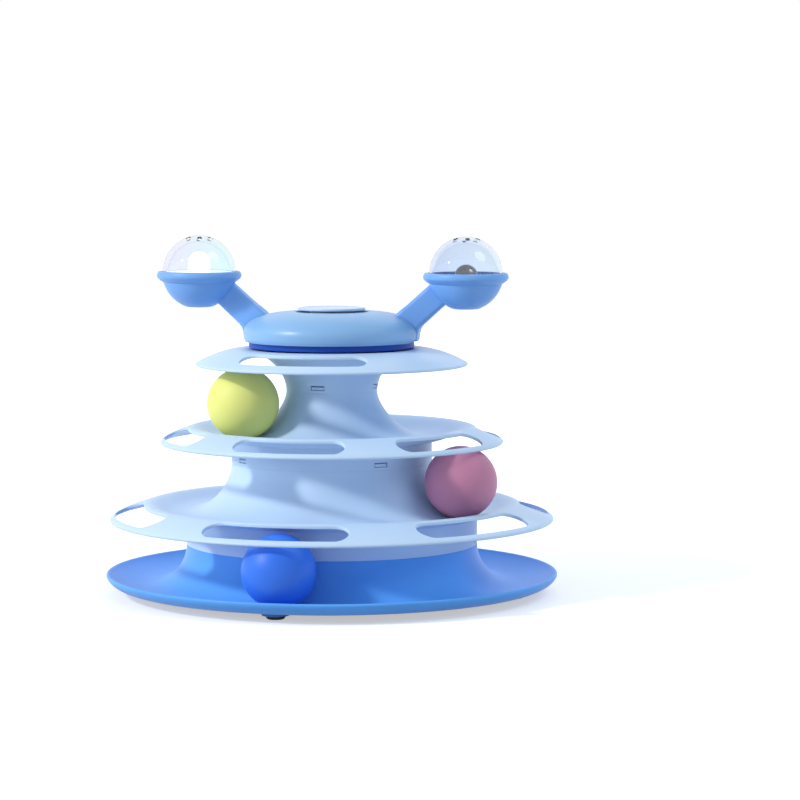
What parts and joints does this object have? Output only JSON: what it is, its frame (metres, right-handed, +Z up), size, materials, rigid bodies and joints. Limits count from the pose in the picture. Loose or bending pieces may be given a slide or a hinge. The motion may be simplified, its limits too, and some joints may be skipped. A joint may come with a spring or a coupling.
{
  "type": "cat ball track toy",
  "caption": "Tower of stacked round ball tracks with paw slots, play balls that circle in them, and a spinning head that carries a lamp pod and a rattle pod on arms",
  "frame": {"origin": "on the tower's axis, on the surface that the foot pads stand on", "axes": "+Z up along the tower's axis, -Y to the front that the picture shows, +X to the right"},
  "size_m": [0.25, 0.25, 0.1974],
  "materials": {
    "blue_shell": "satin moulded, saturated blue",
    "pale_shell": "satin moulded, pale blue",
    "head_blue": "satin moulded, mid blue",
    "cover_blue": "satin moulded, sky blue",
    "cap_lavender": "satin moulded, pale lavender",
    "ball_blue": "smooth moulded, blue",
    "ball_pink": "smooth moulded, pink",
    "ball_yellow": "smooth moulded, yellow",
    "clear_dome": "clear polystyrene",
    "foot_rubber": "black, matt",
    "fastener_steel": "zinc plated",
    "bush_plastic": "self-coloured, low friction",
    "rattle_steel": "polished bearing ball",
    "lamp_white": "white moulded",
    "cell_steel": "nickel plated can",
    "board_green": "solder mask",
    "led_clear": "clear epoxy",
    "diffuser_milk": "milky white"
  },
  "bodies": {
    "tower": {"base_dish": "blue_shell", "foot_pad_1": "foot_rubber", "foot_pad_2": "foot_rubber", "foot_pad_3": "foot_rubber", "foot_pad_4": "foot_rubber", "lower_track": "pale_shell", "middle_track": "pale_shell", "top_track": "pale_shell", "head_screw": "fastener_steel", "head_washer": "fastener_steel"},
    "head": {"head_bush": "bush_plastic", "head_frame": "head_blue", "head_cover": "cover_blue", "head_cap": "cap_lavender", "rattle_tray": "head_blue", "rattle_bezel": "head_blue", "rattle_dome": "clear_dome", "lamp_floor": "lamp_white", "lamp_cells": "cell_steel", "lamp_drum": "lamp_white", "lamp_board": "board_green", "lamp_led": "led_clear", "lamp_diffuser": "diffuser_milk", "lamp_bezel": "head_blue", "lamp_dome": "clear_dome"},
    "base_ball": {"blue_ball": "ball_blue"},
    "lower_ball": {"pink_ball": "ball_pink"},
    "middle_ball": {"yellow_ball": "ball_yellow"},
    "rattle": {"rattle_ball": "rattle_steel"}
  },
  "joints": [
    {"name": "head_spin", "type": "hinge", "parent": "tower", "child": "head", "pos_m": [0, 0, 0.1393], "axis": [0, 0, 1], "continuous": true},
    {"name": "base_ball_orbit", "type": "hinge", "parent": "tower", "child": "base_ball", "pos_m": [0, 0, 0.0251], "axis": [0, 0, 1], "continuous": true},
    {"name": "lower_ball_orbit", "type": "hinge", "parent": "tower", "child": "lower_ball", "pos_m": [0, 0, 0.0653], "axis": [0, 0, 1], "continuous": true},
    {"name": "middle_ball_orbit", "type": "hinge", "parent": "tower", "child": "middle_ball", "pos_m": [0, 0, 0.1066], "axis": [0, 0, 1], "continuous": true},
    {"name": "rattle_orbit", "type": "hinge", "parent": "head", "child": "rattle", "pos_m": [0.07357, -0.01297, 0.175], "axis": [0, 0, 1], "continuous": true}
  ]
}
